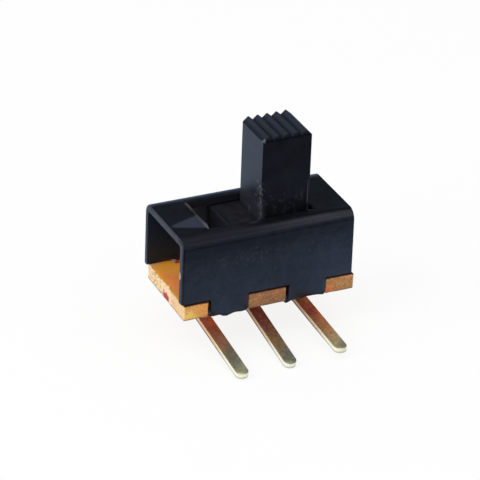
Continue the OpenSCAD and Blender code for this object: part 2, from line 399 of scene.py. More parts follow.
# the cover is one strip of sheet steel, folded, slotted and thickened
cover = dict(
    sheet=0.34, foldRadius=0.5, foldSteps=8, shoulderGap=0.013, backTabRise=0.142,
    slotLength=5.36, slotWidth=2.7, slotCorner=0.15, slotSteps=5, slotBand=0.1,
    tabMiddle=2.0, tabWidth=1.9, tabShift=0.08, frontReach=0.08, flap=1.0,
    edge=0.045, edgeAngle=55, endBand=0.05,
    # the left end's outer edges are rolled where they are near a fold and clear of the foot
    roll=0.12, rollSteps=4, rollReach=0.15, rollLift=0.02,
    # height of the burr along the slot's left end, from front to back
    burr=[(0.95, 0.02), (1.15, 0.09), (1.5, 0.05), (2.2, 0.03), (2.8, 0.04), (3.3, 0.06), (3.45, 0.02)],
    burrReach=0.1, burrCrest=0.03, burrCuts=0.3,
    # rise of each front tab's crimped end, along x
    leftTab=[(-2.87, 0.24), (-2.8, 0.18), (-2.65, 0.13), (-2.3, 0.15), (-2.09, 0.04), (-1.93, 0.02),
             (-1.63, 0.11), (-1.47, 0.13), (-1.2, 0.1), (-0.97, 0.12)],
    rightTab=[(1.13, 0.07), (1.22, 0.09), (1.35, 0.15), (1.7, 0.17), (2.1, 0.21), (2.5, 0.21), (2.8, 0.19),
              (3.03, 0.14)],
    # the crimp fades out over these heights and depths, and stays clear of the wall
    crimpUp=(1.0, 1.85), crimpBack=(0.5, 1.0), crimpPast=0.05, crimpBelow=0.1,
    # two slanting lines bound the thin coat on the top: slope, offset and softness
    wedgeFront=(0.385, 0.137, 0.12), wedgeBack=(0.35, 3.34, 0.25),
    tones=dict(
        coat=(13, 14, 17), coatPale=(26, 29, 36), grain=(35, 38, 46), high=(7, 7, 9), turn=(34, 37, 44),
        inner=(13, 33, 46), paintedGlowBrown=(84, 46, 30), paintedGlowOrange=(240, 124, 66), innerPale=(64, 68, 76),
        slotWall=(36, 37, 43), corner=(50, 54, 68), rim=(72, 86, 108), fold=(60, 61, 66),
        streaks=(50, 54, 62), flecks=(70, 64, 62), rubbed=(88, 90, 100),
        burrFront=(80, 84, 90), burrBack=(78, 74, 68),
        shearLow=(34, 24, 24), shearMiddle=(36, 40, 50), shearHigh=(46, 42, 46), shearTop=(50, 44, 42),
        shearBack=(34, 32, 34), glints=(104, 104, 110), endEdgeHighlight=(196, 170, 156), sheen=(216, 226, 255),
    ),
    zones=dict(
        high=[("z", 4.0, 4.5)], turn=[("z", 4.86, 4.98), ("z", 5.2, 5.1), ("y", 0.7, 0.4)],
        lowBack=[("y", 3.6, 4.0)], paintedGlowBrown=[("z", 2.3, 2.1), ("x", -4.0, -3.3)], paintedGlowOrange=[("z", 2.08, 2.0)],
        innerPale=[("z", 3.2, 3.8), ("x", -3.2, -2.2), ("y", 2, 4)],
        slotWall=[("x", -2.75, -2.6), ("x", 2.75, 2.6), ("y", 0.8, 0.86), ("y", 3.62, 3.56),
                  ("z", 5.335, 5.32)],
        top=[("z", 5.2, 5.32)], corner=[("x", -4.38, -4.1), ("x", -2.6, -2.8)],
        rim=[("y", 3.7, 4.08), ("z", 4.9, 5.1)],
        fold=[("z", 5.0, 5.12), ("z", 5.33, 5.27), ("y", 0.6, 0.5), ("x", -1.5, 4.0)],
        streaks=[("y", 0.5, 0.66), ("y", 0.87, 0.8), ("x", -2.4, -1.9), ("x", 0.6, -0.4)],
        dull=[("x", 0.8, -2.2), ("z", 5.08, 5.2), ("y", 0.7, 0.4)],
        shearMiddle=[("z", 3.3, 3.7)], shearHigh=[("z", 4.0, 4.5)], shearTop=[("z", 4.9, 5.1)],
        shearBack=[("y", 3.2, 3.9)],
        burrStart=[("y", 1.7, 1.2)], burrEnd=[("y", 2.6, 3.1)], burrBack=[("y", 1.6, 2.6)],
    ),
    patches=dict(
        flecks=((-1.2, 0, 4.0), (2.2, 0.4, 0.7), 0.0, 0.5),
        endEdgeHighlight=((-4.38, 0.36, 3.47), (0.4, 0.2, 0.28), 0.05, 0.35),
    ),
)


def blackSteel():
    finish = Finish("blackSteel", cover)
    here, zone, tones = finish.here, finish.zone, finish.tones
    x, y, z = finish.axes.values()
    mottle = finish.noise(here, 1.6, detail=5, rough=0.6)
    grain = finish.noise(here, 7, detail=4, rough=0.6)
    fine = finish.noise(here, 30, detail=2)
    patchy = finish.noise(here, 3.2, detail=4)
    streaks = finish.noise(finish.stretch(here, (1.6, 9, 1)), 1.0, detail=4, rough=0.6)
    flecks = finish.patch("flecks", finish.wander(here, 2.5, 0.5))
    turn, inner, sheared = zone("turn"), finish.mark("inner"), finish.mark("sheared")
    lowBack = inner * zone("lowBack")
    slope, offset, soft = cover["wedgeFront"]
    wedge = (y + slope * x + offset).step(0.0, soft)
    slope, offset, soft = cover["wedgeBack"]
    wedge = wedge * (slope * x + offset - y).step(0.0, soft)
    corner = wedge * zone("corner") * zone("top")
    skin = finish.blend(mottle.step(0.35, 0.68), tones["coat"], tones["coatPale"])
    skin = finish.layers(skin, [
        (grain.step(0.48, 0.7) * 0.6, "grain"),
        # painted shade: darker high up on the front wall, save for the turn of the front fold, which gets a
        # painted highlight
        (zone("high") * (1 - turn) * 0.7, "high"),
        (turn * 0.6, "turn"),
        # the inside keeps a thinner, greyer coat with a pale patch; low at the back, painted warm light in
        # brown and orange stands in for the board's glow
        (inner, "inner"),
        (lowBack * zone("paintedGlowBrown"), "paintedGlowBrown"),
        (lowBack * zone("paintedGlowOrange"), "paintedGlowOrange"),
        (inner * zone("innerPale"), "innerPale"),
        # painted light lifts the slot's shaded walls
        (zone("slotWall"), "slotWall"),
        # a painted highlight by the left corner of the top and a bluish painted reflection along the back
        # fold
        (corner * (0.75 + 0.25 * patchy), "corner"),
        (zone("rim") * (0.6 + 0.4 * mottle) * 0.95, "rim"),
        # the front fold has rubbed pale and carries a painted highlight, both stronger towards its right end
        (zone("fold") * (0.25 + 0.5 * patchy), "fold"),
        # streaks rubbed along the slot's front edge
        (zone("streaks") * zone("top") * streaks.step(0.48, 0.62) * 0.6, "streaks"),
        # a few brown flecks high on the front wall
        (flecks * grain.step(0.56, 0.66) * 0.4, "flecks"),
    ])
    # sheared ends: brighter high up, browner near the base
    heights = ("shearMiddle", "shearHigh", "shearTop", "shearBack")
    steel = finish.layers(tones["shearLow"], [(zone(name), name) for name in heights])
    steel = finish.layers(steel, [
        (fine.step(0.55, 0.7) * 0.5, "glints"),
        # a painted pinkish highlight on the front wall's left end edge
        (finish.patch("endEdgeHighlight"), "endEdgeHighlight"),
    ])
    skin = finish.blend(sheared * (0.65 + 0.35 * patchy.step(0.3, 0.6)), skin, steel)
    # edges and corners that have rubbed through
    skin = finish.layers(skin, [(finish.mark("worn") * patchy.step(0.42, 0.62) * 0.5, "rubbed")])
    # the burr along the slot's left end is pale worn steel and a painted highlight, stronger near its front
    # and back ends
    burr = finish.mark("burr") * (0.15 + 0.25 * patchy + 0.5 * zone("burrStart") + 0.4 * zone("burrEnd"))
    skin = finish.blend(burr, skin, finish.blend(zone("burrBack"), tones["burrFront"], tones["burrBack"]))
    rough = 0.22 + 0.16 * mottle + 0.1 * grain + 0.22 * sheared + 0.14 * corner + 0.25 * zone("dull")
    relief = grain * 0.25 + fine * 0.1 + mottle
    return finish.surface(colour=skin, roughness=rough, specular=0.47, tint=tones["sheen"],
                          normal=finish.bump(relief, depth=0.02, strength=0.6))


def makeCover():
    low, high = boxOf("housing")
    radius, flap = cover["foldRadius"], cover["flap"]
    wallFoot = boxOf("base")[1].z + cover["shoulderGap"]
    frontFoot = wallFoot - cover["frontReach"]
    backTab = low.z + cover["backTabRise"]
    tabs = (cover["tabShift"], cover["tabMiddle"], cover["tabWidth"] / 2)
    slotX = cover["slotLength"] / 2
    slotY = [(low.y + high.y + side * cover["slotWidth"]) / 2 for side in (-1, 1)]
    onTop = high.z - littleIn
    bm = bmesh.new()
    worn, sheared, inner, burr = faceLayers(bm, "worn", "sheared", "inner", "burr")
    outline = [(low.y + flap, low.z), (low.y, low.z), (low.y, high.z),
               (high.y, high.z), (high.y, backTab), (high.y - flap, backTab)]
    foldStrip(bm, outline, low.x, high.x, radius, cover["foldSteps"])

    # tabs
    cut(bm, 0, pairEdges(*tabs))
    cut(bm, 2, [wallFoot], lambda c: c.y > high.y / 2)
    cut(bm, 2, [frontFoot], lambda c: c.y < high.y / 2)
    drop(bm, lambda c: c.z < wallFoot and not inPair(c.x, *tabs))

    # slot, with its corners rounded before its face goes
    cut(bm, 0, [-slotX, slotX], lambda c: c.z > onTop)
    cut(bm, 1, slotY, lambda c: c.z > onTop)
    slotCorners = [v for v in bm.verts if v.co.z > onTop and abs(abs(v.co.x) - slotX) < closeBy
                   and min(abs(v.co.y - y) for y in slotY) < closeBy]
    bevel(bm, slotCorners, cover["slotCorner"], cover["slotSteps"], "VERTICES")

    def inSlot(c):
        return (c.z > onTop and abs(c.x) < slotX - littleIn
                and slotY[0] + littleIn < c.y < slotY[1] - littleIn)

    drop(bm, inSlot)

    # cuts for the burr along the slot's left end
    burrEdge, crestEdge = -slotX - cover["burrReach"], -slotX - cover["burrCrest"]

    def inBurr(c):
        return c.z > onTop and -slotX - cover["burrCuts"] < c.x < -slotX and slotY[0] < c.y < slotY[1]

    cut(bm, 0, [burrEdge, crestEdge], inBurr)
    cut(bm, 1, [place for place, rise in cover["burr"]], inBurr)
    mark([f for f in bm.faces if inBurr(middle(f)) and middle(f).x > burrEdge], burr)

    # places where the crimped ends of the front tabs bend up and down
    for table in (cover["leftTab"], cover["rightTab"]):
        cut(bm, 0, [place for place, rise in table[1:-1]], lambda c: c.z < wallFoot and c.y < low.y + flap)

    # thickness: the new faces are the inner skin and the rims between the skins
    bmesh.ops.recalc_face_normals(bm, faces=bm.faces[:])
    outside = set(bm.faces)
    inside = facesOf(bmesh.ops.solidify(bm, geom=bm.faces[:], thickness=cover["sheet"])["geom"])
    rims = [f for f in bm.faces if f not in outside and f not in inside]
    mark([f for f in rims if abs(middle(f).x) > high.x - cover["endBand"]], sheared)
    mark(inside, inner)

    # the burr and the crimp only move the outer skin
    burrTable = [(slotY[0], 0)] + cover["burr"] + [(slotY[1], 0)]
    for v in bm.verts:
        if v.co.z > onTop and crestEdge - closeBy < v.co.x < -slotX + closeBy:
            v.co.z += readTable(burrTable, v.co.y)
    for v in bm.verts:
        fromFold = math.hypot(max(0, low.y + radius - v.co.y), max(0, low.z + radius - v.co.z))
        onOuterSkin = fromFold > radius - cover["sheet"] / 2
        inReach = v.co.y < low.y + flap + cover["crimpPast"] and v.co.z < wallFoot - cover["crimpBelow"]
        if onOuterSkin and inReach:
            rise = readTable(cover["leftTab"] if v.co.x < 0 else cover["rightTab"], v.co.x)
            fade = (1 - between(v.co.z, *cover["crimpUp"])) * (1 - between(v.co.y, *cover["crimpBack"]))
            v.co.z += rise * fade

    # edges: rolled over on the left end's outer side, the rest just broken
    def rolled(c):
        byFold = min(c.y - low.y, high.y - c.y, high.z - c.z) < cover["rollReach"]
        return c.x < low.x + littleIn and c.z > frontFoot + cover["rollLift"] and byFold

    def bySlot(c):
        band = cover["slotBand"]
        return abs(c.x) < slotX + band and slotY[0] - band < c.y < slotY[1] + band

    bevel(bm, corners(bm, test=rolled), cover["roll"], cover["rollSteps"])
    broken = bevel(bm, corners(bm, cover["edgeAngle"]), cover["edge"])
    mark([f for f in broken if not bySlot(middle(f))], worn)
    finishPiece(bm, "foldedCover", "switch_body", "housing", blackSteel())


makeCover()

# the base is sawn laminate with recesses for the tabs, and it leans forward
board = dict(
    width=4.2, thick=0.8, tilt=2.2,
    recessWidth=2.05, recessDepth=0.42, recessMiddle=2.0, recessShift=-0.11,
    pitch=2.54, holeWidth=0.67, holeDepth=0.33,
    edge=0.035,
    # the sawn edges wander by up to twice ragged, at a grid of cuts and two cuts through the thickness
    ragged=0.014, grid=0.31, gridClear=0.06, gridHeights=(-0.4, 0.24),
    # a chip on the left end: its place, how far it reaches, its depth and which way it goes
    chip=(-4.25, 1.98, 2.01), chipReach=0.16, chipDepth=0.06, chipWay=(1, 0, -0.6),
    # the front edge's tones along x: where, then red, green and blue
    frontTones=[(-4.3, 236, 184, 106), (-2.54, 230, 176, 100), (-1.132, 150, 104, 72),
                (1.156, 148, 102, 70), (2.74, 172, 126, 76), (4.5, 180, 130, 76)],
    tones=dict(
        resin=(255, 173, 58), resinWarm=(255, 168, 76), weave=(222, 136, 56), fleck=(204, 120, 48),
        coral=(255, 150, 86), olive=(206, 160, 70), paleEnd=(226, 178, 118), underWall=(78, 48, 32),
        endFront=(238, 200, 152), endBack=(255, 224, 178), cloudy=(206, 134, 64), cloudyEnd=(244, 222, 170),
        paper=(184, 128, 72), speck=(150, 98, 58), pale=(246, 212, 184),
        orange=(232, 158, 78), yellow=(250, 202, 104), ember=(232, 112, 62), rosy=(232, 158, 122),
        corner=(244, 206, 126), scribble=(160, 128, 74), crumbsPale=(236, 190, 140), crumbsDark=(110, 70, 44),
        band=(104, 62, 42), bandEnd=(176, 108, 52), grime=(138, 116, 92),
        blush=(250, 208, 188), red=(176, 74, 60), pink=(214, 130, 112), dot=(130, 100, 84),
        chip=(250, 226, 214),
    ),
    zones=dict(
        end=[("x", -4.17, -4.2)], paleEnd=[("y", 3.4, 4.0), ("x", -3.6, -4.1)], underWall=[("y", 0.5, 0.3)],
        endBack=[("y", 0.8, 2.8)], scribble=[("y", 1.7, 2.9)],
        left=[("x", -2.7, -3.1)], right=[("x", 2.9, 3.0), ("y", 0.6, 0.3)],
    ),
    patches=dict(
        coral=((-3.7, 2.0, 2.0), (0.6, 1.3, 0.6), 0.0, 0.5),
        olive=((-4.25, 1.5, 2.0), (0.28, 1.2, 0.6), 0.0, 0.5),
        yellow=((-3.95, 0, 1.25), (0.5, 0.5, 0.5), 0.0, 0.6),
        ember=((3.15, 0.05, 1.35), (0.42, 0.6, 0.4), 0.0, 0.6),
        rosy=((4.25, 0.05, 1.9), (0.7, 0.6, 0.3), 0.0, 0.6),
        corner=((-4.3, 0.0, 1.75), (0.5, 0.34, 0.5), 0.0, 0.5),
        blush=((-4.25, 2.0, 1.5), (0.6, 0.75, 0.42), 0.0, 0.4),
        red=((-4.25, 2.07, 1.38), (0.6, 0.5, 0.3), 0.1, 0.5),
        pink=((-4.25, 1.35, 1.5), (0.3, 0.2, 0.08), 0.0, 0.5),
        dot=((-4.25, 2.36, 1.6), (0.2, 0.09, 0.09), 0.1, 0.4),
        chip=((-4.25, 1.98, 1.95), (0.2, 0.14, 0.09), 0.0, 0.4),
    ),
)


def paperLaminate():
    finish = Finish("paperLaminate", board)
    here, zone, patch, tones = finish.here, finish.zone, finish.patch, finish.tones
    x, y, z = finish.axes.values()
    low, high = boxOf("base")
    centre = (low + high) / 2
    sawn, end = finish.mark("sawn"), zone("end")
    # height through the board, 0 at its middle
    rise = z - centre.z - (y - centre.y) * math.tan(math.radians(board["tilt"]))
    rough = finish.wander(here, 2.6, 0.35)
    smudge = finish.wander(here, 7, 0.16)
    cloud = finish.noise(here, 1.3, detail=4, rough=0.6)
    fleck = finish.noise(here, 9, detail=3)
    weave = finish.noise(finish.stretch(here, (3, 14, 3)), 1.0, detail=4, rough=0.6)
    paper = finish.noise(finish.stretch(here, (1.6, 1.6, 16)), 1.0, detail=4, rough=0.65)
    speck = finish.noise(here, 13, detail=4, rough=0.7)
    pale = finish.noise(here, 11, detail=4, rough=0.7)
    crumbs = finish.noise(here, 15, detail=2)
    scribble = finish.noise(finish.stretch(rough, (3, 5, 9)), 1.0, detail=5, rough=0.7)
    # the faces: clear resin over brown paper, with painted shade in the gap under the front wall
    face = finish.blend(cloud.step(0.35, 0.65), tones["resin"], tones["resinWarm"])
    face = finish.layers(face, [
        (weave.step(0.5, 0.75) * 0.3, "weave"),
        (fleck.step(0.55, 0.8) * 0.3, "fleck"),
        (patch("coral", rough) * 0.85, "coral"),
        (patch("olive", rough) * 0.7, "olive"),
        (zone("paleEnd") * 0.7, "paleEnd"),
        (zone("underWall"), "underWall"),
    ])
    # the edges: paper layers, drawn out along the cut
    front = finish.ramp(x, board["frontTones"])
    edge = finish.blend(end, front, finish.blend(zone("endBack"), tones["endFront"], tones["endBack"]))
    cloudy = finish.blend(end, tones["cloudy"], tones["cloudyEnd"])
    edge = finish.blend(cloud.step(0.45, 0.7) * 0.5, edge, cloudy)
    left, right = zone("left") * (1 - end), zone("right")
    edge = finish.layers(edge, [
        (paper.step(0.48, 0.7) * (0.5 - 0.25 * end), "paper"),
        (speck.step(0.54, 0.66) * (0.6 - 0.2 * end), "speck"),
        (pale.step(0.54, 0.7) * (0.25 + 0.25 * end), "pale"),
        # the left notch runs from yellow at its lower left to orange at its right
        (left * (x + 0.6 * rise).step(-4.0, -3.2), "orange"),
        (left * patch("yellow", rough), "yellow"),
        # the right notch is redder at its lower left, painted light for the lit side of its recess, and
        # pinker high up at its right
        (right * patch("ember", rough) * 0.65, "ember"),
        (right * patch("rosy", rough) * 0.5, "rosy"),
        (end * patch("corner", rough) * 0.7, "corner"),
        # brown scribbles on the back half of the left end
        (end * zone("scribble") * scribble.step(0.5, 0.58) * 0.75, "scribble"),
        (crumbs.step(0.55, 0.66) * 0.3, "crumbsPale"),
        (crumbs.step(0.44, 0.34) * 0.4, "crumbsDark"),
    ])
    # a ragged brown band of painted shade under the top edge, as in the gap under the wall, and grime on the
    # lowest layers
    band = (rise + 0.16 * (pale - 0.5)).step(0.33, 0.38)
    edge = finish.blend(band * 0.85, edge, finish.blend(end, tones["band"], tones["bandEnd"]))
    grime = (rise + 0.12 * (pale - 0.5)).step(-0.29, -0.36)
    edge = finish.layers(edge, [(grime * 0.8, "grime")])
    # a red spot, a grey dot and a pale chip on the left end
    colour = finish.layers(finish.blend(sawn, face, edge), [
        (end * patch("blush", smudge) * 0.7, "blush"),
        (end * patch("red", smudge), "red"),
        (end * patch("pink", smudge) * 0.6, "pink"),
        (end * patch("dot") * 0.8, "dot"),
        (patch("chip", smudge) * 0.9, "chip"),
    ])
    shine = 0.34 + 0.1 * fleck + 0.45 * sawn
    relief = fleck * 0.3 + (paper + speck) * 0.6 * sawn
    return finish.surface(colour=colour, roughness=shine.least(0.9), specular=0.35,
                          normal=finish.bump(relief, depth=0.02, strength=0.7))


def makeBoard():
    low, high = boxOf("base")
    wallLow, wallHigh = boxOf("housing")
    centre = (low + high) / 2
    halfWidth, halfThick, halfHole = board["width"] / 2, board["thick"] / 2, board["holeWidth"] / 2
    recesses = (centre.x + board["recessShift"], board["recessMiddle"], board["recessWidth"] / 2)
    holes = [i * board["pitch"] for i in (-1, 0, 1)]
    bm = bmesh.new()
    [sawn] = faceLayers(bm, "sawn")
    # the plate is built level about its middle
    plate(bm, Vector((low.x, -halfWidth)), Vector((high.x, halfWidth)), -halfThick)
    cutX = pairEdges(*recesses) + [hole + end * halfHole for hole in holes for end in (-1, 1)]
    recessY = [board["recessDepth"] - halfWidth, halfWidth - board["recessDepth"]]
    legY = (wallLow.y + wallHigh.y) / 2 - centre.y
    holeY = [legY - board["holeDepth"] / 2, legY + board["holeDepth"] / 2]
    cut(bm, 0, cutX)
    cut(bm, 1, recessY + holeY)

    def opening(c):
        atEdge = c.y < recessY[0] or c.y > recessY[1]
        inHole = any(abs(c.x - hole) < halfHole for hole in holes)
        return (inPair(c.x, *recesses) and atEdge) or (inHole and holeY[0] < c.y < holeY[1])

    drop(bm, opening)
    push(bm, bm.faces[:], (0, 0, board["thick"]))
    bmesh.ops.recalc_face_normals(bm, faces=bm.faces[:])

    # cuts that let the sawn edges wander, kept clear of the others
    def gridCuts(start, length, others):
        places = [start + board["grid"] * (i + 0.5) for i in range(int(length / board["grid"]))]
        return [p for p in places if min(abs(p - q) for q in others) > board["gridClear"]]

    cut(bm, 0, gridCuts(low.x, high.x - low.x, cutX))
    cut(bm, 1, gridCuts(-halfWidth, board["width"], recessY + holeY))
    cut(bm, 2, [share * halfThick for share in board["gridHeights"]])
    turn = Matrix.Rotation(math.radians(board["tilt"]), 3, "X")
    bmesh.ops.rotate(bm, cent=(0, 0, 0), matrix=turn, verts=bm.verts[:])
    bmesh.ops.translate(bm, vec=(0, centre.y, centre.z), verts=bm.verts[:])
    bm.normal_update()
    sides = [f for f in bm.faces if abs(f.normal.z) < steep]
    mark(sides, sawn)
    for v in sorted({v for f in sides for v in f.verts}, key=lambda v: tuple(v.co)):
        out = sum((f.normal for f in v.link_faces if abs(f.normal.z) < steep), Vector())
        v.co -= out.normalized() * dice.uniform(0, 2 * board["ragged"])
        away = (v.co - Vector(board["chip"])).length / board["chipReach"]
        if away < 1:
            v.co += Vector(board["chipWay"]) * board["chipDepth"] * (1 - away)
    bevel(bm, corners(bm), board["edge"])
    finishPiece(bm, "laminateBase", "switch_body", "base", paperLaminate())


makeBoard()

# each terminal is one strip: blade, leg, bend and tail
terminal = dict(
    width=0.65, thick=0.28, bendRadius=0.2, bendSteps=7, tipRound=0.96, tipSteps=7,
    bladeWidth=1.6, bladeHeight=1.45, bladeCorner=0.25,
    shoulderWidth=1.9, shoulderHeight=0.5, edge=0.035, lowerFacing=0.2, paintedHalf=0.33,
    droop={"terminal_left": 8, "terminal_middle": 10, "terminal_right": 3.5},
    tail={"terminal_left": 5.1, "terminal_middle": 4.95, "terminal_right": 4.95},
    # each tail's tones from its tip to its bend: y, then red, green and blue
    tarnish={
        "terminal_left": [
            (-2.75, 232, 238, 196), (-2.4, 200, 204, 180), (-1.9, 176, 171, 150), (-1.4, 188, 173, 143),
            (-1.0, 222, 170, 130), (-0.7, 255, 178, 138), (0.2, 255, 158, 120), (0.7, 244, 162, 148),
            (1.2, 214, 160, 170)],
        "terminal_middle": [
            (-2.75, 184, 182, 160), (-2.3, 170, 166, 152), (-1.8, 188, 164, 132), (-1.2, 182, 147, 104),
            (-0.6, 174, 128, 98), (-0.2, 156, 108, 106), (0.5, 138, 97, 120), (1.2, 150, 110, 144)],
        "terminal_right": [
            (-2.75, 226, 218, 176), (-2.45, 255, 255, 202), (-2.0, 255, 230, 176), (-1.5, 252, 210, 156),
            (-1.1, 230, 179, 130), (-0.7, 242, 178, 127), (-0.2, 231, 150, 112), (0.4, 200, 110, 104),
            (1.2, 182, 144, 140)],
    },
    tones=dict(
        straw=(226, 204, 128), blotchPale=(238, 222, 180), blotchDark=(120, 92, 84), pits=(112, 96, 78),
        cutPale=(255, 246, 226), cutYellow=(252, 250, 208), cutNear=(255, 218, 176),
        lipTip=(206, 204, 178), lipNear=(120, 92, 70),
    ),
    zones=dict(
        leftTail=[("x", -1.0, -1.5)], rightTail=[("x", 1.0, 1.5)], straw=[("y", 0.4, -0.4)],
        cutNear=[("y", -1.9, 0.2)], lipNear=[("y", -2.5, -0.4)],
    ),
)


def tinnedBrass():
    finish = Finish("tinnedBrass", terminal)
    here, zone, tones = finish.here, finish.zone, finish.tones
    x, y, z = finish.axes.values()
    side = finish.mark("side")
    cloud = finish.noise(here, 2.2, detail=4, rough=0.6)
    fine = finish.noise(finish.stretch(here, (9, 2.2, 9)), 1.5, detail=4, rough=0.6)
    pits = finish.noise(here, 16, detail=3)
    stain = finish.noise(here, 3.4, detail=3)
    blotch = finish.noise(here, 5.5, detail=4, rough=0.7)
    # which tail this is, -1, 0 or 1, and the place across it, -1 at its left side to 1 at its right
    onLeft, onRight = zone("leftTail"), zone("rightTail")
    which = onRight - onLeft
    across = (x - board["pitch"] * which) / terminal["paintedHalf"]
    shares = {"terminal_left": onLeft, "terminal_middle": 1 - which.size(), "terminal_right": onRight}
    # the tin is thin near the base, where the brass has tarnished red and then brown
    reach = y - 0.3 * across + 0.7 * (cloud - 0.5)
    # rise is the height above a tail's middle plane
    colour, rise = None, z
    for node, rows in terminal["tarnish"].items():
        tarnish = finish.ramp(reach, rows)
        colour = finish.blend(shares[node], colour, tarnish) if colour else tarnish
        rise = rise - shares[node] * y * math.tan(math.radians(terminal["droop"][node]))
    colour = finish.layers(colour, [
        (across.step(-0.2, -1.0) * zone("straw") * 0.3, "straw"),
        (blotch.step(0.5, 0.68) * 0.35, "blotchPale"),
        (blotch.step(0.48, 0.36) * 0.35, "blotchDark"),
        (pits.step(0.52, 0.64) * 0.4, "pits"),
    ])
    # painted reflection: the cut sides are painted pale, peach near the base, for the surroundings they
    # reflect, with painted shade on their lower edges
    edge = finish.blend(stain.step(0.4, 0.65), tones["cutPale"], tones["cutYellow"])
    edge = finish.layers(edge, [(zone("cutNear"), "cutNear")])
    lip = finish.blend(zone("lipNear"), tones["lipTip"], tones["lipNear"])
    under = (rise + 0.05 * (blotch - 0.5)).step(0.0, -0.07)
    edge = finish.blend(under.most(finish.mark("lower")), edge, lip)
    colour = finish.blend(side, colour, edge)
    rough = 0.3 + 0.16 * fine + 0.1 * pits
    return finish.surface(colour=colour, roughness=rough, metallic=0.85 - 0.6 * side,
                          normal=finish.bump(fine * 0.6 + pits * 0.4, depth=0.006, strength=0.6))


def makeTerminal(node, finish):
    low, high = boxOf(node)
    wallLow, wallHigh = boxOf("housing")
    centre = (low.x + high.x) / 2
    legY = (wallLow.y + wallHigh.y) / 2
    thick = terminal["thick"]
    droop = math.radians(terminal["droop"][node])
    # the bend's axis, set so that the tail crosses the wall's plane at z = 0
    mean = terminal["bendRadius"] + thick / 2
    bendY = legY - mean
    bendZ = mean * math.cos(droop) + (bendY + mean * math.sin(droop)) * math.tan(droop)
    shoulder = high.z - terminal["bladeHeight"]
    shoulderTop = shoulder + terminal["shoulderHeight"]
    halfLeg, halfBlade = terminal["width"] / 2, terminal["bladeWidth"] / 2
    halfShoulder = terminal["shoulderWidth"] / 2
    bm = bmesh.new()
    side, lower = faceLayers(bm, "side", "lower")

    # the blade's outline lies flat first, with its height along y
    plate(bm, Vector((-halfShoulder, bendZ)), Vector((halfShoulder, high.z)), 0)
    cut(bm, 0, [-halfBlade, -halfLeg, halfLeg, halfBlade])
    cut(bm, 1, [shoulder, shoulderTop])
    drop(bm, lambda c: c.y < shoulder and abs(c.x) > halfLeg)
    drop(bm, lambda c: c.y > shoulderTop and abs(c.x) > halfBlade)
    tips = [v for v in bm.verts if v.co.y > high.z - closeBy and abs(abs(v.co.x) - halfBlade) < closeBy]
    bevel(bm, tips, terminal["bladeCorner"], 1, "VERTICES")
    push(bm, bm.faces[:], (0, 0, thick))
    bmesh.ops.rotate(bm, cent=(0, 0, 0), matrix=Matrix.Rotation(math.radians(90), 3, "X"), verts=bm.verts[:])
    bmesh.ops.translate(bm, vec=(centre, legY + thick / 2, 0), verts=bm.verts[:])
    bmesh.ops.recalc_face_normals(bm, faces=bm.faces[:])

    # bend and tail
    foot = [f for f in bm.faces if middle(f).z < bendZ + closeBy]
    turned = bmesh.ops.spin(bm, geom=foot, cent=(centre, bendY, bendZ), axis=(1, 0, 0),
                            angle=-(math.pi / 2 - droop), steps=terminal["bendSteps"], use_merge=False)
    end = facesOf(turned["geom_last"])
    bmesh.ops.delete(bm, geom=[f for f in foot if f.is_valid], context="FACES_ONLY")
    along = Vector((0, -math.cos(droop), -math.sin(droop)))
    end = push(bm, end, along * (terminal["tail"][node] - halfLeg))
    end = push(bm, end, along * halfLeg)
    bmesh.ops.recalc_face_normals(bm, faces=bm.faces[:])
    uprights = [e for f in end if f.is_valid for e in f.edges
                if abs(e.verts[0].co.x - e.verts[1].co.x) < closeBy]
    bevel(bm, uprights, halfLeg * terminal["tipRound"], terminal["tipSteps"])

    # the tail's cut sides, and the broken edges under them
    bm.normal_update()
    down = Vector((0, math.sin(droop), -math.cos(droop)))
    mark([f for f in bm.faces if abs(f.normal.dot(down)) < steep and middle(f).y < bendY], side)
    broken = bevel(bm, corners(bm), terminal["edge"])
    bm.normal_update()
    beneath = [f for f in broken if f.normal.dot(down) > terminal["lowerFacing"] and middle(f).y < bendY]
    mark(beneath, lower)
    mark(beneath, side)
    name = node.replace("terminal_", "") + "Terminal"
    finishPiece(bm, name, "switch_body", node, finish)


brassFinish = tinnedBrass()
for node in sorted(terminal["droop"]):
    makeTerminal(node, brassFinish)

